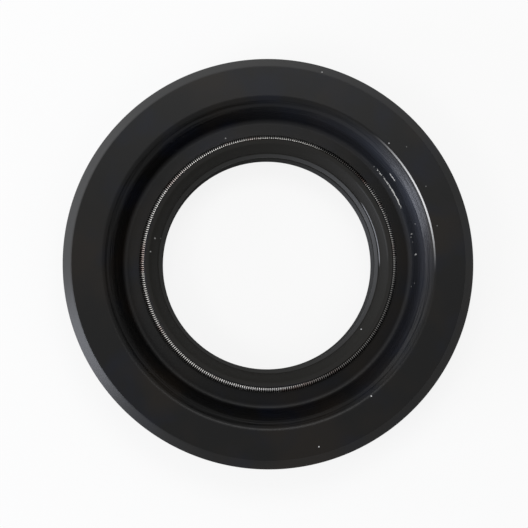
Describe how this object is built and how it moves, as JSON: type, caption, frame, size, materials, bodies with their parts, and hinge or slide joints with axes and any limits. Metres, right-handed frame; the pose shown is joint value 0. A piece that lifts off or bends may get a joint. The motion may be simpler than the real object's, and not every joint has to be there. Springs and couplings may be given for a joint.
{
  "type": "radial shaft seal",
  "caption": "Round rubber-covered shaft seal with a spring-loaded sealing lip, a dust lip and a steel stiffening ring inside.",
  "frame": {"origin": "centre of the back face, the air side, on the shaft's axis", "axes": "+Z runs along the shaft from the back face to the front face, the oil side"},
  "size_m": [0.07, 0.07, 0.01],
  "materials": {
    "rubber": "moulded black nitrile rubber, satin",
    "sheet_steel": "cold-rolled steel sheet with a phosphate and bonding coat",
    "spring_wire": "drawn spring steel wire, oiled"
  },
  "bodies": {
    "root": {"rubber_body": "rubber", "steel_insert": "sheet_steel", "garter_spring": "spring_wire"}
  },
  "joints": []
}
